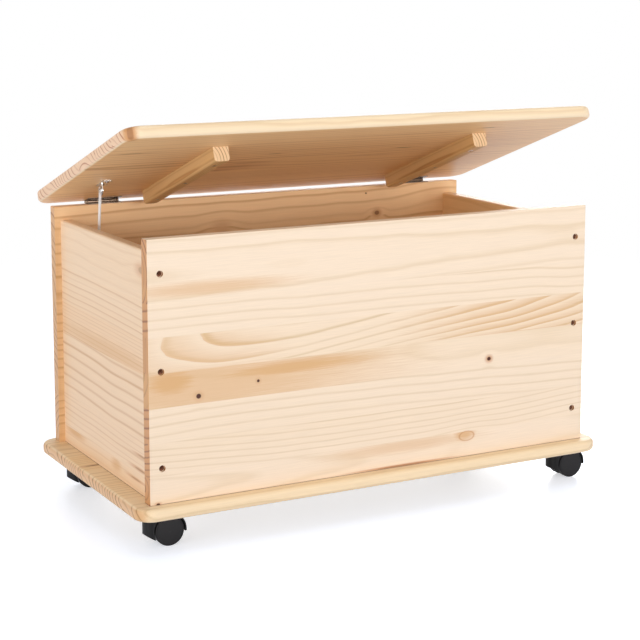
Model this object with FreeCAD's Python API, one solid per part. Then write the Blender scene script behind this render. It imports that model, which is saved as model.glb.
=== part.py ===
import FreeCAD, Part
import os
from math import atan2, cos, degrees, hypot, radians, sin, sqrt, tan

# Pine storage chest: four boards stand on a larger base board on casters, under a hinged lid.
# The chest stands on Z = 0. X runs along its width, with the stay at the -X end, and -Y is its
# front. The origin is on the floor, under the middle of the base board. Millimetres.

# Boards
board_thickness = 19.0
base_width = 808.0
base_depth = 436.0
base_overhang_side = 24.0
base_overhang_front = 21.0
base_overhang_rear = 15.0
base_corner_radius = 28.0
base_edge_radius = 6.5
front_height = 385.0
side_drop = 21.0
side_inset = 10.0
panel_edge_radius = 1.2
side_top_radius = 4.0

# Lid and its battens. The lid is modelled closed and then turned open about the hinge pins.
lid_open_angle = 19.2
lid_depth = 427.0
lid_rear_overhang = 7.5
lid_side_overhang = 23.5
lid_corner_radius = 28.0
lid_edge_radius = 6.0
batten_width = 25.0
batten_height = 22.0
batten_length = 290.0
batten_rear_distance = 50.0
batten_end_distance = 153.0
batten_edge_radius = 5.0

# Butt hinges, with rolled knuckles behind the back panel
hinge_length = 58.0
hinge_middle_knuckle = 30.0
hinge_end_distance = 88.0
hinge_leaf_width = 17.0
hinge_sheet = 1.0
hinge_pin_radius = 1.0
hinge_barrel_radius = 2.0
hinge_running_gap = 0.3

# Slotted lid stay, on the left side panel
stay_bar_width = 8.0
stay_bar_thickness = 1.5
stay_head_radius = 5.5
stay_pivot_distance = 133.0
stay_pivot_drop = 12.0
stay_anchor_angle = 29.5
stay_opening_angle = 75.0
stay_wall_distance = 7.5
stay_slot_end_room = 1.0
stay_pin_radius = 2.0
stay_slot_clearance = 0.25
stay_running_gap = 0.3
rivet_head_radius = 3.4
rivet_head_height = 1.0
bracket_sheet = 1.5
bracket_flange_width = 16.0
bracket_length = 32.0
bracket_corner_radius = 4.0
bracket_screw_share = 0.3
spacer_radius = 4.5
spring_washer_thickness = 0.6
spring_washer_split = 1.2
anchor_grip_share = 0.75

# Twin-wheel casters, all trailing towards +X
caster_height = 52.0
caster_side_distance = 45.0
caster_end_distance = 58.0
caster_trail = 18.0
wheel_radius = 22.5
wheel_outer_face = 17.0
wheel_inner_face = 6.3
wheel_rim_thickness = 3.2
wheel_rim_rounding = 1.0
wheel_disc_thickness = 1.8
wheel_groove = 0.6
wheel_hub_radius = 5.6
axle_radius = 3.0
running_clearance = 0.05
hood_wheel_clearance = 2.2
hood_wall = 2.0
hood_nose_wall = 2.1
hood_half_width = 15.5
hood_nose_radius = 17.5
hood_nose_height = 18.5
hood_nose_slope = 30.0
hood_nose_fillet = 4.0
hood_tail_drop = 3.0
hood_web = 5.0
hood_side_gap = 0.5
hood_collar_radius = 12.0
plate_size = 42.0
plate_thickness = 2.0
plate_hole_spacing = 32.0
plate_corner_radius = 4.0
plate_gap = 0.4
stem_radius = 4.0
stem_end_radius = 3.0
stem_bottom_height = 22.0

# Wood screws: each has a head radius, a head height, a shank radius and a length
panel_screw_radius = 2.0
panel_screw_length = 45.0
panel_screw_head_radius = 4.3
panel_screw_head_height = 2.4
panel_screw_recess_radius = 5.0
panel_screw_recess_depth = 4.0
panel_screw_low_distance = 53.0
panel_screw_top_distance = 50.0
base_screw_length = 45.0
base_front_screw_shares = (-0.75, -0.25, 0.25, 0.75)
base_side_screw_shares = (0.32, 0.68)
batten_screw_length = 34.0
batten_screw_end_distance = 30.0
small_screw_radius = 1.5
small_screw_head_radius = 2.9
small_screw_length = 14.0
bracket_screw_head_height = 1.8
caster_screw_radius = 1.9
caster_screw_head_radius = 3.6
caster_screw_head_height = 1.7
caster_screw_length = 15.0
pilot_clearance = 0.05
tip_width_share = 0.25
tip_length_share = 0.12

# One overrun lets every cutting tool pass the face that it cuts. Points closer than the match
# distance count as one place.
overrun = 1.0
match_distance = 0.001

# Levels and edges that follow from the sizes above
base_bottom = caster_height
base_top = base_bottom + board_thickness
side_top = base_top + front_height - side_drop
panel_top = base_top + front_height
panel_end = base_width / 2 - base_overhang_side
base_front = -base_depth / 2
base_rear = base_depth / 2
front_face = base_front + base_overhang_front
rear_face = base_rear - base_overhang_rear
side_outer = panel_end - side_inset
side_inner = side_outer - board_thickness
side_middle = side_outer - board_thickness / 2
pivot_y = rear_face + hinge_barrel_radius + hinge_running_gap
pivot_z = panel_top + hinge_barrel_radius
lid_underside = pivot_z + hinge_barrel_radius + hinge_running_gap
lid_rear = pivot_y + lid_rear_overhang
lid_front = lid_rear - lid_depth
lid_end = panel_end + lid_side_overhang

X_AXIS = FreeCAD.Vector(1, 0, 0)
Y_AXIS = FreeCAD.Vector(0, 1, 0)
Z_AXIS = FreeCAD.Vector(0, 0, 1)


def save(shape, node):
    """Write one sub-part."""
    os.makedirs("parts", exist_ok=True)
    shape.exportStep("parts/" + node + ".step")


def point(x, y, z):
    return FreeCAD.Vector(x, y, z)


def block(x0, x1, y0, y1, z0, z1):
    """A box between two corners."""
    return Part.makeBox(x1 - x0, y1 - y0, z1 - z0, point(x0, y0, z0))


def fuse(shapes):
    """Join shapes that meet into one solid."""
    joined = shapes[0].multiFuse(shapes[1:])
    return joined.removeSplitter()


def edges_where(shape, test):
    """The straight or round edges of a shape whose vertices all pass a test."""
    return [e for e in shape.Edges if all(test(v.Point) for v in e.Vertexes)]


def near(a, b):
    return abs(a - b) < match_distance


def upright_edges(shape):
    """Edges that run along Z."""
    found = []
    for edge in shape.Edges:
        a, b = edge.Vertexes[0].Point, edge.Vertexes[-1].Point
        if near(a.x, b.x) and near(a.y, b.y) and not near(a.z, b.z):
            found.append(edge)
    return found


def rounded_board(x0, x1, y0, y1, z0, z1, corner, edge):
    """A flat board with rounded plan corners and rounded top and bottom edges."""
    board = block(x0, x1, y0, y1, z0, z1)
    board = board.makeFillet(corner, upright_edges(board))
    rims = edges_where(board, lambda p: near(p.z, z0)) + edges_where(board, lambda p: near(p.z, z1))
    return board.makeFillet(edge, rims)


def turned(profile, base, axis):
    """A solid turned about an axis through base. The profile holds (radius, height) pairs and
    arcs, each arc as the middle and end points of the next stretch."""
    across = X_AXIS if abs(axis.x) < abs(axis.z) + abs(axis.y) else Y_AXIS
    across = across - axis * across.dot(axis)
    across.normalize()

    def place(rz):
        return base + across * rz[0] + axis * rz[1]

    edges = []
    start = place(profile[0])
    for item in profile[1:] + profile[:1]:
        if isinstance(item[0], tuple):
            end = place(item[1])
            edges.append(Part.Arc(start, place(item[0]), end).toShape())
        else:
            end = place(item)
            edges.append(Part.LineSegment(start, end).toShape())
        start = end
    face = Part.Face(Part.Wire(edges))
    return face.revolve(base, axis, 360)


def dome_middle(radius, low, high):
    """Middle point of the profile of a round cap that rises from low at its rim to high."""
    rise = high - low
    ball = (radius * radius + rise * rise) / (2 * abs(rise))
    fall = ball - sqrt(ball * ball - radius * radius / 4)
    return (radius / 2, high - fall if rise > 0 else high + fall)


def countersunk_screw(base, axis, head_radius, head_height, radius, length, clearance=0.0):
    """A flat-headed wood screw whose head's face lies at base. The axis runs to the tip."""
    tip = length * tip_length_share
    profile = [
        (0, 0),
        (head_radius + clearance, 0),
        (radius + clearance, head_height),
        (radius + clearance, length - tip),
        (radius * tip_width_share, length + clearance),
        (0, length + clearance),
    ]
    return turned(profile, base, axis)


def pan_screw(base, axis, head_radius, head_height, radius, length, clearance=0.0):
    """A round-headed wood screw whose head's flat lower face lies at base."""
    tip = length * tip_length_share
    profile = [
        (0, -head_height),
        (dome_middle(head_radius, 0, -head_height), (head_radius, 0)),
        (radius + clearance, 0),
        (radius + clearance, length - tip),
        (radius * tip_width_share, length + clearance),
        (0, length + clearance),
    ]
    return turned(profile, base, axis)


def open_lid(shape):
    """Turn a lid piece from closed to its resting angle, about the hinge pins."""
    shape.rotate(point(0, pivot_y, pivot_z), X_AXIS, -lid_open_angle)
    return shape


# Screw places, shared by the screws and by the holes that they sit in

def panel_screw_places(face, inward):
    """Recessed screws through the front or back panel into the ends of the side panels."""
    seat = face + inward * panel_screw_recess_depth
    low = base_top + panel_screw_low_distance
    high = panel_top - panel_screw_top_distance
    return [point(side * side_middle, seat, z) for side in (-1, 1) for z in (low, (low + high) / 2, high)]


def base_screw_places():
    """Screws up through the base board: four along the front and back, two along each side."""
    places = []
    front_middle = front_face + board_thickness / 2
    rear_middle = rear_face - board_thickness / 2
    for share in base_front_screw_shares:
        places.append(point(share * panel_end, front_middle, base_bottom))
        places.append(point(share * panel_end, rear_middle, base_bottom))
    span = rear_face - front_face
    for side in (-1, 1):
        for share in base_side_screw_shares:
            places.append(point(side * side_middle, front_face + span * share, base_bottom))
    return places


def batten_screw_places():
    """Three screws up through each batten into the closed lid."""
    rear = pivot_y - batten_rear_distance - batten_screw_end_distance
    front = pivot_y - batten_rear_distance - batten_length + batten_screw_end_distance
    level = lid_underside - batten_height
    return [point(side * batten_x, y, level)
            for side in (-1, 1) for y in (rear, (rear + front) / 2, front)]


def hinge_screw_places(level):
    """Three screws in each leaf, on the leaf's centre line."""
    y = rear_face - hinge_leaf_width / 2
    step = hinge_length / 3
    return [point(side * hinge_x + row * step, y, level) for side in (-1, 1) for row in (-1, 0, 1)]


def caster_places():
    """Swivel axes as (name, x, y)."""
    x = base_width / 2 - caster_side_distance
    y0 = base_front + caster_end_distance
    y1 = base_rear - caster_end_distance
    return [("front_left", -x, y0), ("front_right", x, y0), ("rear_left", -x, y1), ("rear_right", x, y1)]


def caster_screw_places(x, y):
    half = plate_hole_spacing / 2
    level = base_bottom - plate_thickness
    return [point(x + i * half, y + j * half, level) for i in (-1, 1) for j in (-1, 1)]


def bracket_screw_places():
    """Two screws in the flange of the stay's bracket, on the closed lid."""
    middle = bracket_x + bracket_sheet + (bracket_flange_width - bracket_sheet) / 2
    y = pivot_y - stay_pivot_distance
    step = bracket_length * bracket_screw_share
    return [point(middle, y + row * step, lid_underside - bracket_sheet) for row in (-1, 1)]


batten_x = panel_end - batten_end_distance
hinge_x = panel_end - hinge_end_distance
stay_outer = -side_inner + stay_wall_distance
stay_inner = stay_outer + stay_bar_thickness
bracket_x = stay_inner + stay_running_gap


def panel_screw(place, axis, clearance=0.0):
    return countersunk_screw(place, axis, panel_screw_head_radius, panel_screw_head_height,
                             panel_screw_radius, panel_screw_length, clearance)


def base_screw(place, clearance=0.0):
    return countersunk_screw(place, Z_AXIS, panel_screw_head_radius, panel_screw_head_height,
                             panel_screw_radius, base_screw_length, clearance)


def batten_screw(place, clearance=0.0):
    return countersunk_screw(place, Z_AXIS, panel_screw_head_radius, panel_screw_head_height,
                             panel_screw_radius, batten_screw_length, clearance)


def hinge_screw(place, axis, clearance=0.0):
    return countersunk_screw(place, axis, small_screw_head_radius, hinge_sheet,
                             small_screw_radius, small_screw_length, clearance)


def bracket_screw(place, clearance=0.0):
    return pan_screw(place, Z_AXIS, small_screw_head_radius, bracket_screw_head_height,
                     small_screw_radius, small_screw_length, clearance)


def caster_screw(place, clearance=0.0):
    return countersunk_screw(place, Z_AXIS, caster_screw_head_radius, caster_screw_head_height,
                             caster_screw_radius, caster_screw_length, clearance)


# Boards

def base_board():
    board = rounded_board(-base_width / 2, base_width / 2, base_front, base_rear,
                          base_bottom, base_top, base_corner_radius, base_edge_radius)
    holes = [base_screw(place, pilot_clearance) for place in base_screw_places()]
    for _, x, y in caster_places():
        holes += [caster_screw(place, pilot_clearance) for place in caster_screw_places(x, y)]
    return board.cut(holes)


def wall_panel(face, inward):
    """The front or back panel, with its six screw recesses."""
    y0, y1 = sorted((face, face + inward * board_thickness))
    panel = block(-panel_end, panel_end, y0, y1, base_top, panel_top)
    outer = edges_where(panel, lambda p: near(p.y, face))
    outer = [e for e in outer if not all(near(v.Z, base_top) for v in e.Vertexes)]
    top = edges_where(panel, lambda p: near(p.z, panel_top))
    top = [e for e in top if not all(near(v.Y, face) for v in e.Vertexes)]
    panel = panel.makeFillet(panel_edge_radius, outer + top)
    axis = Y_AXIS * inward
    tools = []
    for place in panel_screw_places(face, inward):
        start = place - axis * (panel_screw_recess_depth + overrun)
        tools.append(Part.makeCylinder(panel_screw_recess_radius, panel_screw_recess_depth + overrun,
                                       start, axis))
        tools.append(panel_screw(place, axis, pilot_clearance))
    return panel, tools


def front_panel():
    panel, tools = wall_panel(front_face, 1)
    tools += [base_screw(place, pilot_clearance) for place in base_screw_places()]
    return panel.cut(tools)


def back_panel():
    panel, tools = wall_panel(rear_face, -1)
    tools += [base_screw(place, pilot_clearance) for place in base_screw_places()]
    tools += [hinge_screw(place, -Z_AXIS, pilot_clearance)
              for place in hinge_screw_places(panel_top + hinge_sheet)]
    return panel.cut(tools)


def side_panel(side):
    """A side panel: its top is lower than the front panel's and has rounded edges."""
    x0, x1 = sorted((side * side_inner, side * side_outer))
    panel = block(x0, x1, front_face + board_thickness, rear_face - board_thickness, base_top, side_top)
    tops = [e for e in edges_where(panel, lambda p: near(p.z, side_top))
            if near(e.Vertexes[0].X, e.Vertexes[-1].X)]
    panel = panel.makeFillet(side_top_radius, tops)
    tools = [base_screw(place, pilot_clearance) for place in base_screw_places()]
    tools += [panel_screw(place, Y_AXIS, pilot_clearance) for place in panel_screw_places(front_face, 1)]
    tools += [panel_screw(place, -Y_AXIS, pilot_clearance) for place in panel_screw_places(rear_face, -1)]
    if side < 0:
        tools.append(stay_anchor_screw(pilot_clearance))
    return panel.cut(tools)


# Lid and battens

def lid_board():
    lid = rounded_board(-lid_end, lid_end, lid_front, lid_rear, lid_underside,
                        lid_underside + board_thickness, lid_corner_radius, lid_edge_radius)
    holes = [batten_screw(place, pilot_clearance) for place in batten_screw_places()]
    holes += [hinge_screw(place, Z_AXIS, pilot_clearance)
              for place in hinge_screw_places(lid_underside - hinge_sheet)]
    holes += [bracket_screw(place, pilot_clearance) for place in bracket_screw_places()]
    return open_lid(lid.cut(holes))


def batten(side):
    """A stiffening batten under the lid, with rounded lower edges."""
    rear = pivot_y - batten_rear_distance
    x = side * batten_x
    bottom = lid_underside - batten_height
    bar = block(x - batten_width / 2, x + batten_width / 2, rear - batten_length, rear,
                bottom, lid_underside)
    lower = [e for e in edges_where(bar, lambda p: near(p.z, bottom))
             if near(e.Vertexes[0].X, e.Vertexes[-1].X)]
    bar = bar.makeFillet(batten_edge_radius, lower)
    return open_lid(bar.cut([batten_screw(place, pilot_clearance) for place in batten_screw_places()]))


# Hinges

def hinge_leaf(side, upper):
    """One leaf. The lower leaf carries the two end knuckles and the upper leaf the middle one."""
    x = side * hinge_x
    half = hinge_length / 2
    middle = hinge_middle_knuckle / 2
    notch = pivot_y - hinge_barrel_radius - hinge_running_gap
    front = rear_face - hinge_leaf_width
    if upper:
        z0 = lid_underside - hinge_sheet
        spans = [(-middle, middle)]
        bore = hinge_pin_radius + running_clearance
    else:
        z0 = panel_top
        spans = [(-half, -middle - hinge_running_gap), (middle + hinge_running_gap, half)]
        bore = hinge_pin_radius + running_clearance / 2
    solids = [block(x - half, x + half, front, notch, z0, z0 + hinge_sheet)]
    for a, b in spans:
        solids.append(block(x + a, x + b, notch - overrun, pivot_y, z0, z0 + hinge_sheet))
        knuckle = point(x + a, pivot_y, pivot_z)
        solids.append(Part.makeCylinder(hinge_barrel_radius, b - a, knuckle, X_AXIS))
    leaf = fuse(solids)
    tools = [Part.makeCylinder(bore, hinge_length + 2 * overrun,
                               point(x - half - overrun, pivot_y, pivot_z), X_AXIS)]
    axis = Z_AXIS if upper else -Z_AXIS
    level = z0 if upper else z0 + hinge_sheet
    tools += [hinge_screw(place, axis, pilot_clearance) for place in hinge_screw_places(level)]
    leaf = leaf.cut(tools)
    return open_lid(leaf) if upper else leaf


def hinge_pin(side):
    start = point(side * hinge_x - hinge_length / 2, pivot_y, pivot_z)
    return Part.makeCylinder(hinge_pin_radius, hinge_length, start, X_AXIS)


# Lid stay. The pivot on the lid and the anchor on the side panel lie on one circle about the
# hinge pins, so the bar turns half as fast as the lid and its slot always points at the anchor.

pivot_rise = lid_underside - stay_pivot_drop - pivot_z
stay_circle = hypot(stay_pivot_distance, pivot_rise)
closed_angle = degrees(atan2(pivot_rise, stay_pivot_distance))
rest_angle = closed_angle + lid_open_angle


def on_stay_circle(x, angle):
    """A point on the stay's circle, at an angle above the level line that runs to the front."""
    a = radians(angle)
    return point(x, pivot_y - stay_circle * cos(a), pivot_z + stay_circle * sin(a))


def stay_reach(lid_angle):
    """Distance from the stay's pivot to its anchor at a lid angle."""
    return 2 * stay_circle * sin(radians(closed_angle + lid_angle + stay_anchor_angle) / 2)


def stay_bar():
    """A flat steel bar with a round head, a long slot and a round end. It is made hanging from
    the pivot, and then turned to point at the anchor."""
    pivot = on_stay_circle(stay_outer, rest_angle)
    slot_top = stay_reach(0) - stay_slot_end_room
    slot_end = stay_reach(stay_opening_angle) + stay_slot_end_room
    half = stay_bar_width / 2
    slot_half = stay_pin_radius + stay_slot_clearance

    def disc(radius, below):
        return Part.makeCylinder(radius, stay_bar_thickness, pivot - Z_AXIS * below, X_AXIS)

    def strip(half_width, top, bottom):
        return block(pivot.x, pivot.x + stay_bar_thickness, pivot.y - half_width, pivot.y + half_width,
                     pivot.z - bottom, pivot.z - top)

    bar = fuse([disc(stay_head_radius, 0), strip(half, 0, slot_end), disc(half, slot_end)])
    slot = [disc(slot_half, slot_top), strip(slot_half, slot_top, slot_end), disc(slot_half, slot_end)]
    bar = bar.cut(slot + [disc(stay_pin_radius + running_clearance, 0)])
    chord_tilt = (rest_angle - stay_anchor_angle) / 2
    bar.rotate(pivot, X_AXIS, -chord_tilt)
    return bar


def stay_rivet():
    """Rivet through the bracket's tab and the bar, with a head on each side."""
    start = on_stay_circle(stay_outer - stay_running_gap, rest_angle)
    length = stay_running_gap + stay_bar_thickness + stay_running_gap + bracket_sheet
    shank = Part.makeCylinder(stay_pin_radius, length, start, X_AXIS)
    head = Part.makeCylinder(rivet_head_radius, rivet_head_height, start, -X_AXIS)
    tail = Part.makeCylinder(rivet_head_radius, rivet_head_height, start + X_AXIS * length, X_AXIS)
    return fuse([head, shank, tail])


def stay_bracket():
    """Angle bracket under the lid: a flange along the lid and a tab with a round lower end."""
    y = pivot_y - stay_pivot_distance
    half = bracket_length / 2
    tab_radius = stay_head_radius + bracket_sheet
    centre = point(bracket_x, y, lid_underside - stay_pivot_drop)
    flange = block(bracket_x, bracket_x + bracket_flange_width, y - half, y + half,
                   lid_underside - bracket_sheet, lid_underside)
    corners = [e for e in upright_edges(flange) if not near(e.Vertexes[0].X, bracket_x)]
    flange = flange.makeFillet(bracket_corner_radius, corners)
    tab = block(bracket_x, bracket_x + bracket_sheet, y - tab_radius, y + tab_radius,
                lid_underside - stay_pivot_drop, lid_underside)
    round_end = Part.makeCylinder(tab_radius, bracket_sheet, centre, X_AXIS)
    bracket = fuse([flange, tab, round_end])
    hole = Part.makeCylinder(stay_pin_radius + pilot_clearance, bracket_sheet + 2 * overrun,
                             centre - X_AXIS * overrun, X_AXIS)
    screws = [bracket_screw(place, pilot_clearance) for place in bracket_screw_places()]
    return open_lid(bracket.cut(screws + [hole]))


def stay_spacer():
    """Tube that keeps the bar off the side panel."""
    start = on_stay_circle(-side_inner, -stay_anchor_angle)
    length = stay_wall_distance - stay_running_gap
    tube = Part.makeCylinder(spacer_radius, length, start, X_AXIS)
    bore = Part.makeCylinder(stay_pin_radius + pilot_clearance, length + 2 * overrun,
                             start - X_AXIS * overrun, X_AXIS)
    return tube.cut(bore)


def stay_washer():
    """Spring washer between the bar and the anchor screw's head, split on one side."""
    start = on_stay_circle(bracket_x, -stay_anchor_angle)
    ring = Part.makeCylinder(spacer_radius, spring_washer_thickness, start, X_AXIS)
    bore = Part.makeCylinder(stay_pin_radius + pilot_clearance, spring_washer_thickness + 2 * overrun,
                             start - X_AXIS * overrun, X_AXIS)
    split = block(start.x - overrun, start.x + spring_washer_thickness + overrun,
                  start.y, start.y + spacer_radius + overrun,
                  start.z - spring_washer_split / 2, start.z + spring_washer_split / 2)
    return ring.cut([bore, split])


def stay_anchor_screw(clearance=0.0):
    """Shoulder screw through washer, slot and spacer into the left side panel."""
    seat = on_stay_circle(bracket_x + spring_washer_thickness, -stay_anchor_angle)
    depth = seat.x + side_inner + board_thickness * anchor_grip_share
    return pan_screw(seat, -X_AXIS, spacer_radius, stay_pin_radius, stay_pin_radius, depth, clearance)


# Casters

def hood_side_profile(x, y):
    """Side outline of the hood as a face in the swivel's middle plane. The fender is an arc
    about the axle with a short straight tail, the top is flat, and the nose slopes down towards
    the wheels."""
    fender = wheel_radius + hood_wheel_clearance + hood_wall
    top = wheel_radius + fender
    nose = -hood_nose_radius
    fillet = hood_nose_fillet
    low_height = hood_nose_height - hood_nose_radius * tan(radians(hood_nose_slope))
    diagonal = fender * cos(radians(45))
    soft = fillet - fillet * cos(radians(45))

    def at(u, z):
        return point(x + u, y, z)

    tail = at(caster_trail + fender, wheel_radius - hood_tail_drop)
    rear = at(caster_trail + fender, wheel_radius)
    crest = at(caster_trail, top)
    bend_in = at(nose + fillet, top)
    bend_middle = at(nose + soft, top - soft)
    bend_out = at(nose, top - fillet)
    tip = at(nose, hood_nose_height)
    low = at(0, low_height)
    edges = [
        Part.Arc(rear, at(caster_trail + diagonal, wheel_radius + diagonal), crest).toShape(),
        Part.LineSegment(crest, bend_in).toShape(),
        Part.Arc(bend_in, bend_middle, bend_out).toShape(),
        Part.LineSegment(bend_out, tip).toShape(),
        Part.LineSegment(tip, low).toShape(),
        Part.LineSegment(low, tail).toShape(),
        Part.LineSegment(tail, rear).toShape(),
    ]
    return Part.Face(Part.Wire(edges))


def slab(face, half_width):
    """A profile made as thick as two half widths, about its own plane."""
    moved = face.translated(Y_AXIS * -half_width)
    return moved.extrude(Y_AXIS * (2 * half_width))


def caster_hood(x, y):
    """Moulded hood: fender and round hollow nose, a web between the wheels, and bosses for the
    stem and the axle."""
    fender = wheel_radius + hood_wheel_clearance + hood_wall
    top = wheel_radius + fender
    axle = point(x + caster_trail, y, wheel_radius)
    profile = hood_side_profile(x, y)
    boss_half = wheel_inner_face - hood_side_gap
    plan_nose = Part.makeCylinder(hood_nose_radius, top, point(x, y, 0), Z_AXIS)
    plan_tail = block(x, x + caster_trail + fender + overrun,
                      y - hood_half_width, y + hood_half_width, 0, top)
    shell = slab(profile, hood_half_width).common(fuse([plan_nose, plan_tail]))
    pocket = Part.makeCylinder(wheel_radius + hood_wheel_clearance, 2 * hood_nose_radius + 2 * overrun,
                               axle - Y_AXIS * (hood_nose_radius + overrun), Y_AXIS)
    hollow = Part.makeCylinder(hood_nose_radius - hood_nose_wall, top - hood_nose_wall,
                               point(x, y, 0), Z_AXIS)
    half = hood_half_width - hood_wall
    hollow = hollow.common(block(x - hood_nose_radius, x + hood_nose_radius, y - half, y + half, 0, top))
    shell = shell.cut([pocket, hollow])
    stem_boss = Part.makeCylinder(boss_half, top - stem_bottom_height + hood_nose_wall,
                                  point(x, y, stem_bottom_height - hood_nose_wall), Z_AXIS)
    axle_boss = Part.makeCylinder(boss_half, 2 * boss_half, axle - Y_AXIS * boss_half, Y_AXIS)
    collar_top = caster_height - plate_thickness - plate_gap
    collar = Part.makeCylinder(hood_collar_radius, collar_top - top + hood_nose_wall,
                               point(x, y, top - hood_nose_wall), Z_AXIS)
    hood = fuse([shell, slab(profile, hood_web / 2), stem_boss, axle_boss, collar])
    stem_hole = Part.makeCylinder(stem_radius + running_clearance, caster_height,
                                  point(x, y, stem_bottom_height - hood_side_gap), Z_AXIS)
    axle_hole = Part.makeCylinder(axle_radius + running_clearance / 2, 2 * boss_half + 2 * overrun,
                                  axle - Y_AXIS * (boss_half + overrun), Y_AXIS)
    return hood.cut([stem_hole, axle_hole])


def caster_wheel(x, y, side):
    """One wheel of a pair: a rim, a domed outer disc with a groove beside the rim, and a hub."""
    radius = wheel_radius
    disc_in = wheel_outer_face - 2 * wheel_disc_thickness + hood_side_gap
    rim_out = wheel_outer_face - wheel_disc_thickness / 2
    rim_in = radius - wheel_rim_thickness
    bend = wheel_rim_rounding
    soft = bend - bend * cos(radians(45))
    groove = wheel_groove
    dome_radius = radius - 2 * bend - groove
    bore = axle_radius + running_clearance
    bore_end = wheel_outer_face - wheel_disc_thickness
    inner = wheel_inner_face
    profile = [
        (bore, inner),
        (wheel_hub_radius, inner),
        (wheel_hub_radius, disc_in),
        (rim_in, disc_in),
        (rim_in, inner),
        (radius - bend, inner),
        ((radius - soft, inner + soft), (radius, inner + bend)),
        (radius, rim_out - bend),
        ((radius - soft, rim_out - soft), (radius - bend, rim_out)),
        (radius - 2 * bend, rim_out),
        (radius - 2 * bend, rim_out - groove),
        (dome_radius, rim_out - groove),
        (dome_radius, rim_out),
        (dome_middle(dome_radius, rim_out, wheel_outer_face), (0, wheel_outer_face)),
        (0, bore_end),
        (bore, bore_end),
    ]
    centre = point(x + caster_trail, y, wheel_radius)
    return turned(profile, centre, Y_AXIS * side)


def caster_axle(x, y):
    half = wheel_outer_face - wheel_disc_thickness - hood_side_gap
    start = point(x + caster_trail, y - half, wheel_radius)
    return Part.makeCylinder(axle_radius, 2 * half, start, Y_AXIS)


def caster_plate(x, y):
    """Square steel plate with four countersunk screw holes, so that the turning hood clears the
    heads, and a hole for the stem's riveted end."""
    half = plate_size / 2
    bottom = base_bottom - plate_thickness
    plate = block(x - half, x + half, y - half, y + half, bottom, base_bottom)
    plate = plate.makeFillet(plate_corner_radius, upright_edges(plate))
    tools = [caster_screw(place, pilot_clearance) for place in caster_screw_places(x, y)]
    tools.append(Part.makeCylinder(stem_end_radius + pilot_clearance, plate_thickness + 2 * overrun,
                                   point(x, y, bottom - overrun), Z_AXIS))
    return plate.cut(tools)


def caster_stem(x, y):
    """Swivel stem: a thinner riveted end fills the plate's hole."""
    bottom = base_bottom - plate_thickness
    stem = Part.makeCylinder(stem_radius, bottom - stem_bottom_height,
                             point(x, y, stem_bottom_height), Z_AXIS)
    end = Part.makeCylinder(stem_end_radius, plate_thickness, point(x, y, bottom), Z_AXIS)
    return fuse([stem, end])


# The whole chest, board by board

save(base_board(), "base_board")
save(front_panel(), "front_panel")
save(back_panel(), "back_panel")
save(side_panel(-1), "left_side_panel")
save(side_panel(1), "right_side_panel")
save(Part.makeCompound([panel_screw(p, Y_AXIS) for p in panel_screw_places(front_face, 1)]),
     "front_panel_screws")
save(Part.makeCompound([panel_screw(p, -Y_AXIS) for p in panel_screw_places(rear_face, -1)]),
     "back_panel_screws")
save(Part.makeCompound([base_screw(p) for p in base_screw_places()]), "base_screws")

save(lid_board(), "lid_board")
save(batten(-1), "left_batten")
save(batten(1), "right_batten")
save(open_lid(Part.makeCompound([batten_screw(p) for p in batten_screw_places()])), "batten_screws")

for hand, side in (("left", -1), ("right", 1)):
    save(hinge_leaf(side, False), hand + "_hinge_lower_leaf")
    save(hinge_leaf(side, True), hand + "_hinge_upper_leaf")
    save(hinge_pin(side), hand + "_hinge_pin")
save(Part.makeCompound([hinge_screw(p, -Z_AXIS) for p in hinge_screw_places(panel_top + hinge_sheet)]),
     "hinge_lower_screws")
save(open_lid(Part.makeCompound([hinge_screw(p, Z_AXIS)
                                 for p in hinge_screw_places(lid_underside - hinge_sheet)])),
     "hinge_upper_screws")

save(stay_bar(), "stay_arm")
save(stay_bracket(), "stay_bracket")
save(stay_rivet(), "stay_rivet")
save(open_lid(Part.makeCompound([bracket_screw(p) for p in bracket_screw_places()])),
     "stay_bracket_screws")
save(stay_spacer(), "stay_spacer")
save(stay_washer(), "stay_spring_washer")
save(stay_anchor_screw(), "stay_anchor_screw")

plate_screws = []
for name, x, y in caster_places():
    save(caster_plate(x, y), name + "_caster_plate")
    save(caster_stem(x, y), name + "_caster_stem")
    save(caster_hood(x, y), name + "_caster_hood")
    save(caster_axle(x, y), name + "_caster_axle")
    save(caster_wheel(x, y, -1), name + "_caster_front_wheel")
    save(caster_wheel(x, y, 1), name + "_caster_rear_wheel")
    plate_screws += [caster_screw(place) for place in caster_screw_places(x, y)]
save(Part.makeCompound(plate_screws), "caster_plate_screws")
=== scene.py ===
import bpy
import bmesh
from math import cos, radians, sin
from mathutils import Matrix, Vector


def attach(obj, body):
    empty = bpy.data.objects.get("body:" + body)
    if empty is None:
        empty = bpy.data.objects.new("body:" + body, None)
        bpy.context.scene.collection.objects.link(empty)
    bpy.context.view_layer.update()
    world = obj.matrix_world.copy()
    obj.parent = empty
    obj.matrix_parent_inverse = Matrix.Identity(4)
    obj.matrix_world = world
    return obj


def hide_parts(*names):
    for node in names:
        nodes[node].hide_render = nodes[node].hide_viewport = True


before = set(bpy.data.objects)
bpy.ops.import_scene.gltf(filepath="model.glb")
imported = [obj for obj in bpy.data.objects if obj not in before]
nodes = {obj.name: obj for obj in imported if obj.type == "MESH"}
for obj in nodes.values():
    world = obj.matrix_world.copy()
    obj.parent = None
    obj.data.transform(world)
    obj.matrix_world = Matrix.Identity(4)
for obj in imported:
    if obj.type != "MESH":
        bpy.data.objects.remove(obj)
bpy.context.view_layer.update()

# Base board: edge-glued pine staves with the grain along the chest's width, machined round on
# every edge and lacquered clear. The same wood, cut from the same kind of log, makes every board.


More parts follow.
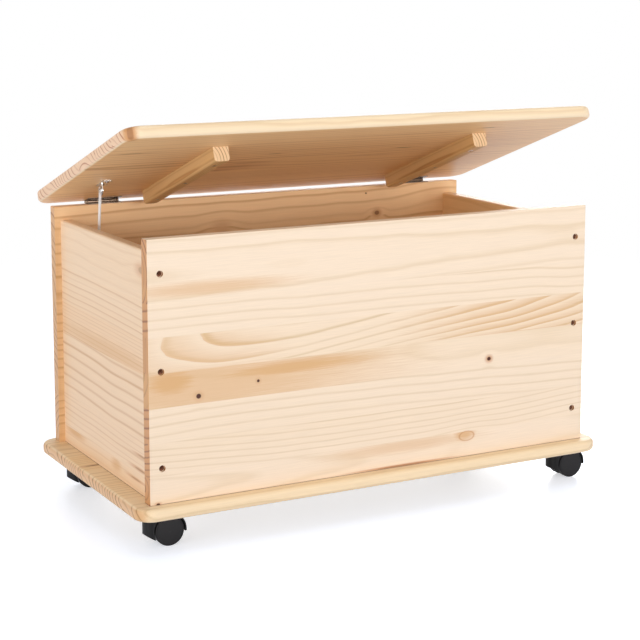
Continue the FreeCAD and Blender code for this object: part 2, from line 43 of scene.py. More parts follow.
def colour(code):
    """Linear RGBA of an sRGB hex colour."""
    parts = [int(code[i:i + 2], 16) / 255 for i in (1, 3, 5)]
    return [p / 12.92 if p <= 0.04045 else ((p + 0.055) / 1.055) ** 2.4 for p in parts] + [1.0]


def add(material, kind, inputs=None, **settings):
    """Add a node to a material or the world, with its settings and with values or links on its
    inputs. An input goes by its name, or by its number where names repeat: on a Mix node 2 and 3
    are the numbers it mixes, 6 and 7 the colours, and its output 2 is the colour."""
    made = material.node_tree.nodes.new("ShaderNode" + kind)
    for name, value in settings.items():
        setattr(made, name, value)
    for key, value in (inputs or {}).items():
        if isinstance(value, bpy.types.NodeSocket):
            material.node_tree.links.new(value, made.inputs[key])
        else:
            made.inputs[key].default_value = value
    return made.outputs


def new_material(name):
    """A material with no nodes yet."""
    material = bpy.data.materials.new(name)
    material.use_nodes = True
    material.node_tree.nodes.clear()
    return material


def finish_with(material, shader):
    """Join the finished shader to the material's output."""
    output = material.node_tree.nodes.new("ShaderNodeOutputMaterial")
    material.node_tree.links.new(shader, output.inputs["Surface"])
    return material


def dress(name, material):
    """Give a CAD piece its finish."""
    slots = nodes[name].data.materials
    slots.clear()
    slots.append(material)


def lacquered_pine(name, axes, middle, across_size, staves, knots=(), shades=(), flames=(),
                   place=None, tilt=0.0, early="#f9e3ca", late="#d6b686", warm="#f0cf9f",
                   end_wood=("#eecba2", "#ad7650"), painted_inner_shade=None):
    """Clear-lacquered pine, solid through the board, so that faces and end grain belong together:
    pale early wood, amber late-wood lines, and satin gloss. All lengths are in mm, from the
    board's middle.

    axes: which of X, Y and Z (0 to 2) run along the grain, across it and through the board.
    middle, across_size: the board's middle in the chest, and its size across the staves.
    staves: (start as a share of the width, pith across, pith through, ring width, warmth, line
        strength), and for a log that isn't straight, the pith's lean across and through per mm,
        and its bow across and through, in mm at 100 mm from the middle.
    knots: (along, across, half length, half width, darkness of the core, of the halo, push on the
        rings). A core below nothing gives a reddish rim in place of a dark core.
    shades: (along, across, half length, half width, strength, the stave's two edges).
    flames: shades that follow the rings.
    place, tilt: a point the board turns about, and the turn, for one that isn't square.
    end_wood: early and late wood of the end grain.
    painted_inner_shade: (early wood, late wood, where it starts and is full through the board),
    painted shade: deeper, warmer colours where a face looks into the chest's shade."""
    m = new_material(name)

    def reach_of(at, over, long, wide):
        """How far a spot lies from the middle of an ellipse, where 1 is the ellipse's own edge."""
        u = add(m, "MapRange", {"Value": along, "From Min": at, "From Max": at + long}, clamp=False)
        v = add(m, "MapRange", {"Value": across, "From Min": over, "From Max": over + wide},
                clamp=False)
        flat = add(m, "CombineXYZ", {0: u[0], 1: v[0]})
        return add(m, "VectorMath", {0: flat[0]}, operation="LENGTH")["Value"]

    def stronger(so_far, stain):
        """The stronger of two stains, or the new one where there is none so far."""
        if so_far is None:
            return stain
        return add(m, "Math", {0: so_far, 1: stain}, operation="MAXIMUM")[0]

    # The board's own place in mm: along the grain, across the staves and through the thickness
    seen = add(m, "TexCoord")
    pivot = place or middle
    where = add(m, "Mapping", {"Vector": seen["Object"], "Location": [c / 1000 for c in pivot],
                               "Rotation": (tilt, 0, 0), "Scale": (0.001, 0.001, 0.001)},
                vector_type="TEXTURE")
    offset = [a - b for a, b in zip(middle, pivot)]
    where = add(m, "VectorMath", {0: where[0], 1: offset}, operation="SUBTRACT")
    xyz = add(m, "SeparateXYZ", {0: where[0]})
    along, across, through = (xyz[i] for i in axes)

    # Three ramps across the board hold each stave's log: where its pith lies, how it leans, and
    # how it bows. A ramp holds 0 to 1, so that pith and lean are kept round 0.5 at a scale of a
    # metre, the bow round 0.5 at a scale of 20 mm, and the ring width as a share of 50 mm.
    share = add(m, "MapRange", {"Value": across, "From Min": -across_size / 2,
                                "From Max": across_size / 2})
    ramps = [add(m, "ValToRGB", {0: share[0]}) for _ in range(3)]
    straight = (0, 0, 0, 0)
    for i, stave in enumerate(staves):
        start, pith, depth, width, warmth, strength = stave[:6]
        lean, slope, bow, curve = (stave[6:] + straight)[:4]
        for ramp, value in zip(ramps, ((0.5 + pith / 1000, 0.5 + depth / 1000, warmth, width / 50),
                                       (0.5 + lean, 0.5 + slope, strength, 1),
                                       (0.5 + bow / 20, 0.5 + curve / 20, 0, 1))):
            ramp = ramp[0].node.color_ramp
            ramp.interpolation = "CONSTANT"
            stop = ramp.elements[i] if i < 2 else ramp.elements.new(start)
            stop.position = start
            stop.color = value
    pith = add(m, "VectorMath", {0: ramps[0][0], 1: (1000, 1000, 0), 2: (-500, -500, 0)},
               operation="MULTIPLY_ADD")
    lean = add(m, "VectorMath", {0: ramps[1][0], 1: (1, 1, 0), 2: (-0.5, -0.5, 0)},
               operation="MULTIPLY_ADD")
    bow = add(m, "VectorMath", {0: ramps[2][0], 1: (20, 20, 0), 2: (-10, -10, 0)},
              operation="MULTIPLY_ADD")
    warmth = add(m, "SeparateColor", {0: ramps[0][0]})["Blue"]
    strength = add(m, "SeparateColor", {0: ramps[1][0]})["Blue"]
    ring_width = add(m, "Math", {0: ramps[0][1], 1: 50}, operation="MULTIPLY")

    # Rings run round the pith, which leans, bows and wanders along the log, by half a ring over
    # 250 mm. Faces show them as lines where it lies far off, and as arches where it lies close.
    root = add(m, "SeparateXYZ", {0: pith[0]})
    track = add(m, "CombineXYZ", {0: along, 1: root[0], 2: root[1]})
    wander = add(m, "TexNoise", {"Vector": track[0], "Scale": 1 / 250, "Detail": 2.0,
                                 "Roughness": 0.5})
    pith = add(m, "VectorMath", {0: lean[0], 1: along, 2: pith[0]}, operation="MULTIPLY_ADD")
    square = add(m, "Math", {0: along, 1: along}, operation="MULTIPLY")
    square = add(m, "Math", {0: square[0], 1: 0.0001}, operation="MULTIPLY")
    pith = add(m, "VectorMath", {0: bow[0], 1: square[0], 2: pith[0]}, operation="MULTIPLY_ADD")
    drift = add(m, "VectorMath", {0: wander["Color"], 1: (1, 1, 0), 2: (-0.5, -0.5, 0)},
                operation="MULTIPLY_ADD")
    drift = add(m, "VectorMath", {0: drift[0], "Scale": ring_width[0]}, operation="SCALE")
    pith = add(m, "VectorMath", {0: pith[0], 1: drift[0]}, operation="ADD")
    spot = add(m, "CombineXYZ", {0: across, 1: through})
    radius = add(m, "VectorMath", {0: spot[0], 1: pith[0]}, operation="DISTANCE")["Value"]

    # Knots push the rings aside, and have a dark core in a reddish halo, or a reddish rim where
    # the darkness is negative.
    core = halo = None
    for at, over, long, wide, dark, glow, push in knots:
        reach = out = reach_of(at, over, long, wide)
        if dark < 0:
            reach = add(m, "Math", {0: reach, 1: 1.0}, operation="SUBTRACT")[0]
            reach = add(m, "Math", {0: reach}, operation="ABSOLUTE")[0]
            reach = add(m, "Math", {0: reach, 1: 2.0, 2: 0.8}, operation="MULTIPLY_ADD")[0]
        inner = add(m, "MapRange", {"Value": reach, "From Min": 1.2, "From Max": 0.8,
                                    "To Max": abs(dark)}, interpolation_type="SMOOTHSTEP")
        outer = add(m, "MapRange", {"Value": out, "From Min": 3.2, "From Max": 0.6,
                                    "To Max": glow}, interpolation_type="SMOOTHSTEP")
        swell = add(m, "MapRange", {"Value": out, "From Min": 7.0, "From Max": 0.0,
                                    "To Max": push}, interpolation_type="SMOOTHSTEP")
        if dark < 0:
            inner, outer = outer, inner
        core = stronger(core, inner[0])
        halo = stronger(halo, outer[0])
        radius = add(m, "Math", {0: radius, 1: swell[0]}, operation="ADD")[0]

    # Each ring darkens slowly and ends sharply, and no two are as wide or as dark. Ripples 20 mm
    # across and ten times as long bend the lines.
    drawn_out = [0.09 if i == axes[0] else 1 for i in range(3)]
    stretched = add(m, "VectorMath", {0: where[0], 1: drawn_out}, operation="MULTIPLY")
    turn = add(m, "Math", {0: radius, 1: ring_width[0]}, operation="DIVIDE")
    ripple = add(m, "TexNoise", {"Vector": stretched[0], "Scale": 1 / 20, "Detail": 2.0})
    turn = add(m, "Math", {0: ripple["Fac"], 1: 0.25, 2: turn[0]}, operation="MULTIPLY_ADD")
    beat = add(m, "TexNoise", {"W": turn[0], "Scale": 0.4, "Detail": 1.0}, noise_dimensions="1D")
    turn = add(m, "Math", {0: beat["Fac"], 1: 0.4, 2: turn[0]}, operation="MULTIPLY_ADD")
    part = add(m, "Math", {0: turn[0]}, operation="FRACT")
    line = add(m, "ValToRGB", {0: part[0]})
    ramp = line[0].node.color_ramp
    ramp.interpolation = "EASE"
    ring_profile = (0.0, 0.25), (0.08, 0.0), (0.64, 0.07), (0.9, 1.0), (1.0, 0.25)
    for i, (at, level) in enumerate(ring_profile):
        stop = ramp.elements[i] if i < 2 else ramp.elements.new(at)
        stop.position = at
        stop.color = (level, level, level, 1)
    number = add(m, "Math", {0: turn[0]}, operation="FLOOR")
    year = add(m, "TexWhiteNoise", {"W": number[0]}, noise_dimensions="1D")
    year = add(m, "MapRange", {"Value": year["Value"], "To Min": 0.35, "To Max": 1.0})
    line = add(m, "Math", {0: line[0], 1: year[0]}, operation="MULTIPLY")

    # End grain drinks more lacquer: its rings show at full strength. Warmer patches in the early
    # wood are about 60 mm across.
    grain_axis = [0.0, 0.0, 0.0]
    grain_axis[axes[0]] = 1.0
    turned_normal = add(m, "VectorRotate", {"Vector": seen["Normal"], "Rotation": (-tilt, 0, 0)},
                        rotation_type="EULER_XYZ")
    facing = add(m, "VectorMath", {0: turned_normal[0], 1: grain_axis}, operation="DOT_PRODUCT")
    facing = add(m, "Math", {0: facing["Value"]}, operation="ABSOLUTE")
    end = add(m, "MapRange", {"Value": facing[0], "From Min": 0.45, "From Max": 0.85},
              interpolation_type="SMOOTHSTEP")
    strength = add(m, "Mix", {0: end[0], 2: strength, 3: 1.0})
    line = add(m, "Math", {0: line[0], 1: strength[0]}, operation="MULTIPLY")
    cloud = add(m, "TexNoise", {"Vector": stretched[0], "Scale": 1 / 62.5, "Detail": 1.0})
    warmth = add(m, "Math", {0: cloud["Fac"], 1: warmth}, operation="MULTIPLY")
    wood = add(m, "Mix", {0: warmth[0], 6: colour(early), 7: colour(warm)}, data_type="RGBA")
    late_wood = add(m, "Mix", {0: end[0], 6: colour(late), 7: colour(end_wood[1])},
                    data_type="RGBA")
    # Painted shade: a face turned into the chest takes deeper, warmer colours, as it looks in
    # shade.
    if painted_inner_shade:
        under = add(m, "MapRange", {"Value": through, "From Min": painted_inner_shade[2], "From Max": painted_inner_shade[3]})
        inner_shade_mask = add(m, "Math", {0: under[0], 1: end[0]}, operation="SUBTRACT", use_clamp=True)
        wood = add(m, "Mix", {0: inner_shade_mask[0], 6: wood[2], 7: colour(painted_inner_shade[0])}, data_type="RGBA")
        late_wood = add(m, "Mix", {0: inner_shade_mask[0], 6: late_wood[2], 7: colour(painted_inner_shade[1])},
                        data_type="RGBA")
    wood = add(m, "Mix", {0: end[0], 6: wood[2], 7: colour(end_wood[0])}, data_type="RGBA")
    wood = add(m, "Mix", {0: line[0], 6: wood[2], 7: late_wood[2]}, data_type="RGBA")

    # Fibres: streaks 0.6 mm wide and 30 mm long. Real ones are a tenth as wide, too fine to show.
    drawn_far = [0.02 if i == axes[0] else 1 for i in range(3)]
    fibre_place = add(m, "VectorMath", {0: where[0], 1: drawn_far}, operation="MULTIPLY")
    fibre = add(m, "TexNoise", {"Vector": fibre_place[0], "Scale": 0.85, "Detail": 3.0,
                                "Roughness": 0.65})
    tone = add(m, "MapRange", {"Value": fibre["Fac"], "From Min": 0.3, "From Max": 0.7,
                               "To Min": 0.945, "To Max": 1.025})
    wood = add(m, "VectorMath", {0: wood[2], 1: tone[0]}, operation="MULTIPLY")[0]

    # Tan shades: resin that has spread along the grain within one stave, and painted shade at the
    # back panel's ends
    tan = None
    for i, (at, over, long, wide, amount, low, high) in enumerate(tuple(shades) + tuple(flames)):
        out = reach_of(at, over, long, wide)
        out = add(m, "Math", {0: fibre["Fac"], 1: 0.8, 2: out}, operation="MULTIPLY_ADD")
        soft = add(m, "MapRange", {"Value": out[0], "From Min": 1.6, "From Max": 0.6,
                                   "To Max": amount}, interpolation_type="SMOOTHSTEP")
        held = add(m, "Math", {0: across, 1: (low + high) / 2, 2: (high - low) / 2},
                   operation="COMPARE")
        soft = add(m, "Math", {0: soft[0], 1: held[0]}, operation="MULTIPLY")
        if i >= len(shades):
            soft = add(m, "Math", {0: soft[0], 1: part[0]}, operation="MULTIPLY")
        tan = stronger(tan, soft[0])
    resin_and_shade_tan, knot_halo_and_joint_shade_red, knot_core_and_joint_shade_brown = "#dba970", "#c98a58", "#4a2415"
    for stain, tint in ((tan, resin_and_shade_tan), (halo, knot_halo_and_joint_shade_red), (core, knot_core_and_joint_shade_brown)):
        if stain is not None:
            wood = add(m, "Mix", {0: stain, 6: wood, 7: colour(tint)}, data_type="RGBA")[2]
    relief = add(m, "Math", {0: fibre["Fac"], 1: 0.5, 2: line[0]}, operation="MULTIPLY_ADD")
    bump = add(m, "Bump", {"Strength": 0.12, "Distance": 0.0003, "Height": relief[0]})
    gloss = add(m, "MapRange", {"Value": fibre["Fac"], "To Min": 0.38, "To Max": 0.52})
    shader = add(m, "BsdfPrincipled", {"Base Color": wood, "Roughness": gloss[0], "Normal": bump[0],
                                       "IOR": 1.45, "Specular IOR Level": 0.35})
    return finish_with(m, shader[0])


dress("base_board", lacquered_pine(
    "lacquered_pine_base", (0, 1, 2), (0, 0, 61.5), 436,
    [(0.0, -150, -38, 10.0, 0.4, 0.6), (0.16, -160, 45, 9.0, 0.7, 0.9, 0.01),
     (0.35, 20, -40, 10.0, 0.4, 0.8), (0.52, -10, 42, 8.5, 0.8, 0.9, 0.01),
     (0.71, 150, -45, 10.0, 0.5, 0.8), (0.88, 140, 50, 9.0, 0.7, 0.9)],
    knots=[(-377, 34, 14, 1.6, 0.8, 0.6, 3)],
    shades=[(-400, -210, 14, 22, 0.5, -218, -180)], early="#fbe3bf", warm="#f8d098",
    end_wood=("#ecc193", "#905c38")))

# Front and back panels: five to seven staves glued edge to edge, with the grain along the width.
# They stand on the base board, screwed to it from below. On the front panel a knot as long as the
# panel is painted shade: a dark line along the joint with the base board below.

dress("front_panel", lacquered_pine(
    "lacquered_pine_front", (0, 2, 1), (0, -187.5, 263.5), 385,
    [(0.0, -170, 30.5, 11.0, 0.15, 0.26, 0, 0.05),
     (0.104, -56, 25, 9.0, 0.3, 0.5, -0.007, 0, 0.93, 0),
     (0.234, 60, 30, 13.5, 0.2, 0.5, -0.02, 0, -0.59, 0),
     (0.3675, -5, 45, 16.0, 0.3, 0.25, -0.03),
     (0.497, 114.2, 197.4, 5.0, 0.35, 0.7, 0.096, 0.009, -3.03, 1.467),
     (0.632, 190, 20, 14.0, 0.15, 0.45, -0.0145, 0, -0.28, 0),
     (0.76, 142.7, 50.7, 10.0, 0.1, 0.35, 0.0125, 0.011)],
    knots=[(-302.7, -40.2, 3.8, 3.6, 1.0, 0.3, 6), (-207.3, -28.6, 2.2, 2.2, 1.0, 0.3, 4),
           (197.2, -39.8, 3.4, 3.0, 1.0, 0.8, 6), (157.0, -159.5, 13.5, 7.5, -0.6, 0.0, 5),
           # Painted shade: the 900 mm knot is a dark line along the joint with the base board.
           (-367.5, -191.3, 2.8, 1.7, 1.0, 0.5, 0), (0, -192.6, 900, 0.9, 0.7, 0.2, 0),
           (40, -190.6, 45, 1.0, 0.3, 0.8, 0)],
    shades=[(-300, -26, 380, 70, 0.6, -51, -1), (-345, -16, 65, 32, 0.9, -51, -1),
            (-155, -14, 200, 17, 0.85, -51, -1), (-290, 117, 170, 13, 0.55, 100, 150),
            (40, -160, 160, 13, 0.45, -192, -152), (152, -156, 26, 14, 0.8, -192, -152)],
    flames=[(250, 28, 230, 60, 0.7, -1, 51), (-300, 20, 150, 50, 0.6, -1, 51)],
    end_wood=("#d59c69", "#82492c")))
dress("back_panel", lacquered_pine(
    "lacquered_pine_back", (0, 2, 1), (0, 193.5, 263.5), 385,
    [(0.0, -200, -50, 10.0, 0.5, 0.6), (0.2, -120, 40, 11.0, 0.7, 0.6),
     (0.41, 60, -60, 10.0, 0.4, 0.6), (0.6, 30, 60, 13.0, 0.8, 0.7),
     (0.86, 90, 40, 16.0, 0.6, 0.6, 0.02)],
    knots=[(214, 144, 4.5, 3.6, 0.6, 0.7, -9), (191.7, 180, 1.4, 1.2, 1.0, 0.3, 0),
           (-88, 138, 9.0, 7.0, 0.0, 0.3, -9), (335, 172, 14, 8, 0.0, 0.18, -8)],
    # Painted shade: these two shades darken both ends of the board, for the shadow the front panel
    # casts on them.
    shades=[(-384, 0, 16, 900, 0.3, -195, 195), (384, 0, 16, 900, 0.3, -195, 195)],
    early="#fae6cb", warm="#f2cfa4", late="#cb9a63",
    # Painted shade: the last colours make the inner face deeper and warmer, as it looks in the
    # chest's shade.
    end_wood=("#dcb086", "#7e4a2e"), painted_inner_shade=("#fdd5a3", "#c48c52", -8.4, -8.9)))

# Side panels: the same staves, with the grain along the depth. Their rounded tops stand lower
# than the front and back, which leaves a gap for the fingers under the lid.

# Painted shade: a dark line along each side panel's joint with the base board.
joint_painted_shade = (0, -182.1, 900, 0.9, 0.7, 0.2, 0)
left_knots = [(-157, 152, 12, 5, 0.25, 0.5, 9), (-150, -124, 18, 1.1, 0.25, 0.6, 3),
              (-140, -146, 20, 1.4, 0.3, 0.65, 4), (-122, -164, 18, 1.1, 0.25, 0.6, 3)]
for hand, x, inward, own_knots in (("left", -360.5, 1, left_knots), ("right", 360.5, -1, [])):
    dress(hand + "_side_panel", lacquered_pine(
        "lacquered_pine_side_" + hand, (1, 2, 0), (x, 3, 253), 364,
        [(0.0, -100, 60, 9.0, 0.9, 0.3), (0.081, 80, 60, 8.5, 0.5, 0.5, 0.02),
         (0.22, 90, -30, 17.0, 0.45, 0.68, 0.035), (0.497, -60, 40, 5.0, 1.0, 0.55, 0.01),
         (0.639, -80, 30, 9.5, 0.6, 0.5, 0.01), (0.79, 250, 60, 16.0, 0.35, 0.18, 0.02)],
        knots=[joint_painted_shade] + own_knots,
        shades=[(131, -156, 52, 9, 0.8, -182, -152.5), (-45, -162, 24, 12, 0.6, -182, -152.5),
                (0, 10, 260, 18, 0.5, -1, 50.5)],
        early="#f9ddbd", warm="#f0c496", late="#c9935b",
        # Painted shade: the last colours make the inward face deeper and warmer, as it looks in the
        # chest's shade.
        painted_inner_shade=("#f3c993", "#c48a4e", inward * 8.4, inward * 8.9)))

# Lid: one edge-glued board, its long edges rounded like a bullnose. It is lacquered on both
# sides, and its underside is a darker amber: painted shade for the shade under the open lid. It
# stands open on its hinges.

lid_turn = radians(-19.2)
hinge_axis = (0.0, 205.3, 458.0)
dress("lid_board", lacquered_pine(
    "lacquered_pine_lid", (0, 1, 2), (0, -0.7, 469.8), 427,
    [(0.0, -140, -34, 9.5, 0.4, 0.35), (0.14, -175, 46, 9.0, 0.4, 0.6),
     (0.3, -20, -26, 10.0, 0.6, 0.75, 0.02, 0.025), (0.47, -30, 44, 12.0, 0.4, 0.5),
     (0.62, 140, -38, 8.5, 0.6, 0.7), (0.79, 115, 45, 11.0, 0.5, 0.5)],
    knots=[(130.5, -59, 15, 1.4, 0.7, 0.6, 2), (-104.6, -65.4, 11, 1.2, 0.5, 0.5, 2),
           (224.0, -168.5, 12, 1.2, 0.7, 0.6, 2), (-361, -117.3, 18, 1.3, 0.5, 0.5, 2),
           (-150, 12, 30, 9, 0.0, 0.45, 8),
           (-163, 32, 24, 3.6, 0.1, 0.45, 2), (-143, 12, 28, 4.4, 0.15, 0.5, 3),
           # The last knot and the first shade draw a dark spot in a tan patch on the front-left
           # corner.
           (-130, -10, 20, 3.2, 0.1, 0.4, 2), (-396, -207.0, 5, 5, 0.35, 0.75, 0)],
    shades=[(-396, -204, 12, 12, 0.9, -214, -180)],
    place=hinge_axis, tilt=lid_turn, early="#fae4c4", warm="#efcf9c", late="#d3a469",
    end_wood=("#f3cdaa", "#b4775a"), painted_inner_shade=("#fbce96", "#c68b52", -8.9, -9.5)))

# Battens: two planed pine strips under the lid, across its grain, that keep it flat. Their lower
# edges are rounded over, and each is held by three screws.

# Painted shade: the battens' deep amber colours are how the strips look in the shade under the lid.
for hand, x in (("left", -227.0), ("right", 227.0)):
    dress(hand + "_batten", lacquered_pine(
        "lacquered_pine_batten_" + hand, (1, 0, 2), (x, 10.3, 449.3), 25,
        [(start, -30, -8, 5.0, 0.8, 0.8) for start in (0.0, 0.999)],
        place=hinge_axis, tilt=lid_turn, early="#efc890", warm="#dcab6a", late="#b57840",
        end_wood=("#f0cfa4", "#8f5a34")))

# Screws: bronzed wood screws in the front and back panels, deep in their recesses, and zinc-plated
# ones under the base, in the casters' plates, the hinges and the battens. Each has a cross recess
# pressed into its flat head.


def steel(name, tint, roughness, scratch):
    """Steel, plated or rolled: bright metal whose fine upright scratches, as wide as scratch in
    metres, break up its highlights."""
    m = new_material(name)
    seen = add(m, "TexCoord")
    place = add(m, "Mapping", {"Vector": seen["Object"], "Scale": (1, 1, 0.15)})
    noise = add(m, "TexNoise", {"Vector": place[0], "Scale": 1 / scratch, "Detail": 4.0,
                                "Roughness": 0.7})
    rough = add(m, "MapRange", {"Value": noise["Fac"], "From Min": 0.3, "From Max": 0.7,
                                "To Min": roughness * 0.75, "To Max": roughness * 1.3})
    tone = add(m, "MapRange", {"Value": noise["Fac"], "From Min": 0.3, "From Max": 0.7,
                               "To Min": 0.88, "To Max": 1.06})
    base = add(m, "VectorMath", {0: colour(tint)[:3], 1: tone[0]}, operation="MULTIPLY")
    bump = add(m, "Bump", {"Strength": 0.15, "Distance": 0.0001, "Height": noise["Fac"]})
    shader = add(m, "BsdfPrincipled", {"Base Color": base[0], "Metallic": 1.0,
                                       "Roughness": rough[0], "Normal": bump[0]})
    return finish_with(m, shader[0])


def cross_recess(name, body, outward, arm, material):
    """Stand for a group of screws with the same screws, now with a cross recess in each head. The
    heads face outward, and arm is half the cross's width in metres."""
    weld = 0.00002
    depth = arm * 0.75
    taper = 0.55
    outward = Vector(outward).normalized()
    shape = bmesh.new()
    shape.from_mesh(nodes[name].data)
    bmesh.ops.remove_doubles(shape, verts=shape.verts, dist=weld)
    bmesh.ops.dissolve_limit(shape, angle_limit=radians(0.5), verts=shape.verts, edges=shape.edges)
    across = outward.orthogonal().normalized()
    up = outward.cross(across)
    cross = [(1, 3), (-1, 3), (-1, 1), (-3, 1), (-3, -1), (-1, -1), (-1, -3), (1, -3), (1, -1),
             (3, -1), (3, 1), (1, 1)]
    for face in [f for f in shape.faces if f.normal.dot(outward) > 0.999]:
        centre = face.calc_center_median()
        rim = list(face.edges)
        bmesh.ops.delete(shape, geom=[face], context="FACES_ONLY")
        ring = [shape.verts.new(centre + (across * a + up * b) * arm / 3) for a, b in cross]
        mouth = [shape.edges.new((ring[i - 1], ring[i])) for i in range(len(ring))]
        bmesh.ops.triangle_fill(shape, edges=rim + mouth, normal=outward, use_beauty=True)
        sunk = bmesh.ops.extrude_edge_only(shape, edges=mouth)["geom"]
        low = [v for v in sunk if isinstance(v, bmesh.types.BMVert)]
        for v in low:
            v.co = centre + (v.co - centre) * taper - outward * depth
        foot = [e for e in sunk
                if isinstance(e, bmesh.types.BMEdge) and all(v in low for v in e.verts)]
        bmesh.ops.triangle_fill(shape, edges=foot, normal=outward, use_beauty=True)
    bmesh.ops.recalc_face_normals(shape, faces=shape.faces)
    mesh = bpy.data.meshes.new(name + "_cross")
    shape.to_mesh(mesh)
    shape.free()
    mesh.shade_smooth()
    mesh.set_sharp_from_angle(angle=radians(35))
    mesh.materials.append(material)
    piece = bpy.data.objects.new(name + "_cross", mesh)
    bpy.context.scene.collection.objects.link(piece)
    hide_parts(name)
    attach(piece, body)


bronzed = steel("bronzed_steel_screw", "#5a3a2c", 0.42, 0.0006)
zinc = steel("zinc_plated_steel", "#d9dbdc", 0.26, 0.0008)
under_lid = (0, sin(lid_turn), -cos(lid_turn))
for name, body, slot, outward, arm, material in (
        ("front_panel_screws", "chest", "bronzed_screw", (0, -1, 0), 0.0024, bronzed),
        ("back_panel_screws", "chest", "bronzed_screw", (0, 1, 0), 0.0024, bronzed),
        ("base_screws", "chest", "zinc_screw", (0, 0, -1), 0.0024, zinc),
        ("hinge_lower_screws", "chest", "zinc_screw", (0, 0, 1), 0.0016, zinc),
        ("caster_plate_screws", "chest", "zinc_screw", (0, 0, -1), 0.002, zinc),
        ("batten_screws", "lid", "zinc_screw", under_lid, 0.0024, zinc),
        ("hinge_upper_screws", "lid", "zinc_screw", under_lid, 0.0016, zinc)):
    cross_recess(name, body, outward, arm, material)

# Hinges: two butt hinges of folded steel sheet, tinted brown: painted shade for the dark gap under
# the lid. Each lower leaf is screwed to the top edge of the back panel and each upper leaf to the
# lid, and a pin joins them.

hinge_steel_brown_shade = steel("hinge_steel_brown_painted_shade", "#93806f", 0.3, 0.0008)
for hand in ("left", "right"):
    for part in ("lower_leaf", "upper_leaf", "pin"):
        dress(hand + "_hinge_" + part, hinge_steel_brown_shade)

# Lid stay: a slotted arm of bright rolled steel, on a rivet in a zinc-plated angle bracket under
# the lid. Its slot runs along an anchor screw in the left side panel, under a spring washer.

dress("stay_arm", steel("bright_rolled_steel", "#f1f2f3", 0.42, 0.0012))
for name in ("stay_bracket_screws", "stay_bracket", "stay_rivet", "stay_spacer",
             "stay_spring_washer", "stay_anchor_screw"):
    dress(name, zinc)

# Casters: a zinc-plated plate and stem carry a hood of black nylon, with two nylon wheels on one
# steel axle. The mould's fine spark-eroded texture shows on the hood, and the wheels are duller.


def nylon(name, tint, roughness, grit):
    """Moulded nylon: near-black, with the dull even sheen of an eroded mould, whose grit is in
    metres."""
    m = new_material(name)
    seen = add(m, "TexCoord")
    noise = add(m, "TexNoise", {"Vector": seen["Object"], "Scale": 1 / grit, "Detail": 2.0})
    rough = add(m, "MapRange", {"Value": noise["Fac"], "From Min": 0.3, "From Max": 0.7,
                                "To Min": roughness * 0.85, "To Max": roughness * 1.15})
    bump = add(m, "Bump", {"Strength": 0.25, "Distance": 0.0001, "Height": noise["Fac"]})
    shader = add(m, "BsdfPrincipled", {"Base Color": colour(tint), "Roughness": rough[0],
                                       "Normal": bump[0], "IOR": 1.53, "Specular IOR Level": 0.2})
    return finish_with(m, shader[0])


hood_nylon = nylon("moulded_nylon_hood", "#0f0e0f", 0.45, 0.0006)
wheel_nylon = nylon("moulded_nylon_wheel", "#1c1a1b", 0.5, 0.0009)
for corner in ("front_left", "front_right", "rear_left", "rear_right"):
    dress(corner + "_caster_hood", hood_nylon)
    dress(corner + "_caster_front_wheel", wheel_nylon)
    dress(corner + "_caster_rear_wheel", wheel_nylon)
    for part in ("plate", "stem", "axle"):
        dress(corner + "_caster_" + part, zinc)

# Studio: a pale floor, clear from below, that glows up to white and fades into a white surround.
# Wide soft lamps far off in front, to the left, behind and overhead light the chest, and the
# surround fills the rest.


def only_looked_at(material):
    """1 where the camera looks, also by a gloss or through glass, and 0 for light on the chest."""
    path = add(material, "LightPath")
    eye = add(material, "Math", {0: path["Is Camera Ray"], 1: path["Is Glossy Ray"]},
              operation="MAXIMUM")
    return add(material, "Math", {0: eye[0], 1: path["Is Transmission Ray"]},
               operation="MAXIMUM")[0]


floor_half = 4.0
fade_starts, fade_ends = 1.1, 2.4
floor_glow = 0.56
floor_mesh = bpy.data.meshes.new("floor")
flat = bmesh.new()
bmesh.ops.create_grid(flat, x_segments=1, y_segments=1, size=floor_half)
flat.to_mesh(floor_mesh)
flat.free()
floor = bpy.data.objects.new("floor", floor_mesh)
bpy.context.scene.collection.objects.link(floor)
m = new_material("white_floor")
seen = add(m, "TexCoord")
away = add(m, "VectorMath", {0: seen["Object"]}, operation="LENGTH")
fade = add(m, "MapRange", {"Value": away["Value"], "From Min": fade_starts, "From Max": fade_ends},
           interpolation_type="SMOOTHSTEP")
surface = add(m, "BsdfPrincipled", {"Base Color": colour("#dfe8fc"), "Roughness": 0.35,
                                    "Specular IOR Level": 0.3})
glow = add(m, "Math", {0: only_looked_at(m), 1: floor_glow}, operation="MULTIPLY")
white = add(m, "Emission", {"Color": (1, 1, 1, 1), "Strength": glow[0]})
surface = add(m, "AddShader", {0: surface[0], 1: white[0]})
clear = add(m, "BsdfTransparent")
below = add(m, "NewGeometry")["Backfacing"]
gone = add(m, "Math", {0: fade[0], 1: below}, operation="MAXIMUM")
finish_with(m, add(m, "MixShader", {0: gone[0], 1: surface[0], 2: clear[0]})[0])
floor_mesh.materials.append(m)

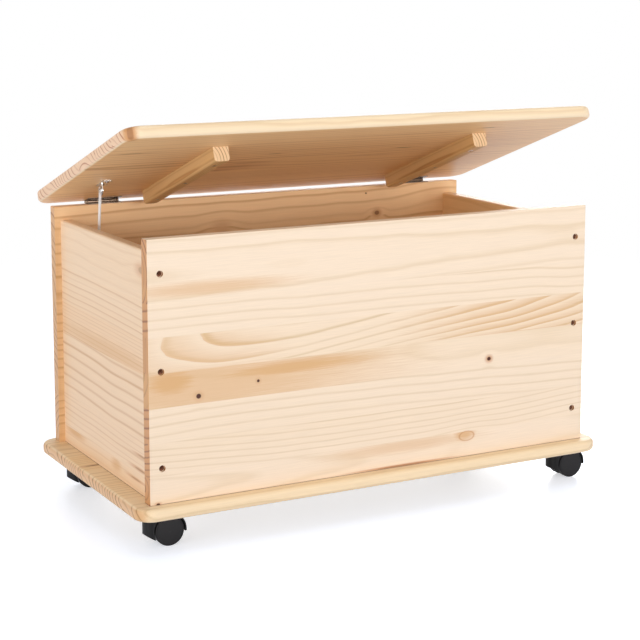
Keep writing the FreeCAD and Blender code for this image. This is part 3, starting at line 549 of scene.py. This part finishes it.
world = bpy.data.worlds.new("studio")
bpy.context.scene.world = world
world.use_nodes = True
world.node_tree.nodes.clear()
sky = add(world, "SeparateXYZ", {0: add(world, "TexCoord")["Generated"]})
level = add(world, "MapRange", {"Value": sky["Z"], "From Min": -0.05, "From Max": 0.25,
                                "To Min": 1.0, "To Max": 0.3})
fill = add(world, "Background", {"Color": (1, 1, 1, 1), "Strength": level[0]})
backdrop = add(world, "Background", {"Color": (1, 1, 1, 1), "Strength": 1.0})
mixed = add(world, "MixShader", {0: only_looked_at(world), 1: fill[0], 2: backdrop[0]})
output = world.node_tree.nodes.new("ShaderNodeOutputWorld")
world.node_tree.links.new(mixed[0], output.inputs["Surface"])


def softbox(name, place, target, width, height, watts):
    """A soft rectangular lamp that faces a target."""
    lamp = bpy.data.lights.new(name, "AREA")
    lamp.shape = "RECTANGLE"
    lamp.size = width
    lamp.size_y = height
    lamp.energy = watts
    holder = bpy.data.objects.new(name, lamp)
    holder.location = place
    holder.rotation_euler = (Vector(target) - Vector(place)).to_track_quat("-Z", "Y").to_euler()
    bpy.context.scene.collection.objects.link(holder)


softbox("front_softbox", (1.0, -6.0, 1.1), (0.0, 0.0, 0.6), 4.0, 1.4, 147)
softbox("left_softbox", (-6.0, -1.4, 1.3), (0.0, 0.0, 0.4), 4.0, 2.0, 138)
softbox("rear_softbox", (4.2, 4.8, 2.0), (0.0, 0.0, 0.3), 4.0, 2.5, 175)
softbox("top_softbox", (0.0, -0.6, 3.2), (0.0, 0.0, 0.0), 2.0, 2.0, 20)

# Camera: low in front and to the left, with a long lens. Its place, turn and focal length, in
# pixels of a square frame, come from a fit to the chest's corners. The shift holds the framing.

focal_pixels = 1681.14
frame_pixels = 640
camera_data = bpy.data.cameras.new("camera")
camera_data.sensor_width = 36.0
camera_data.lens = focal_pixels / frame_pixels * camera_data.sensor_width
camera_data.shift_y = -0.16
camera_data.clip_end = 60.0
camera = bpy.data.objects.new("camera", camera_data)
camera.location = (-1.26466, -2.34957, 0.82023)
camera.rotation_euler = (radians(90 - 8.181), 0.0, radians(-28.314))
bpy.context.scene.collection.objects.link(camera)
bpy.context.scene.camera = camera
bpy.context.scene.view_settings.view_transform = "Standard"
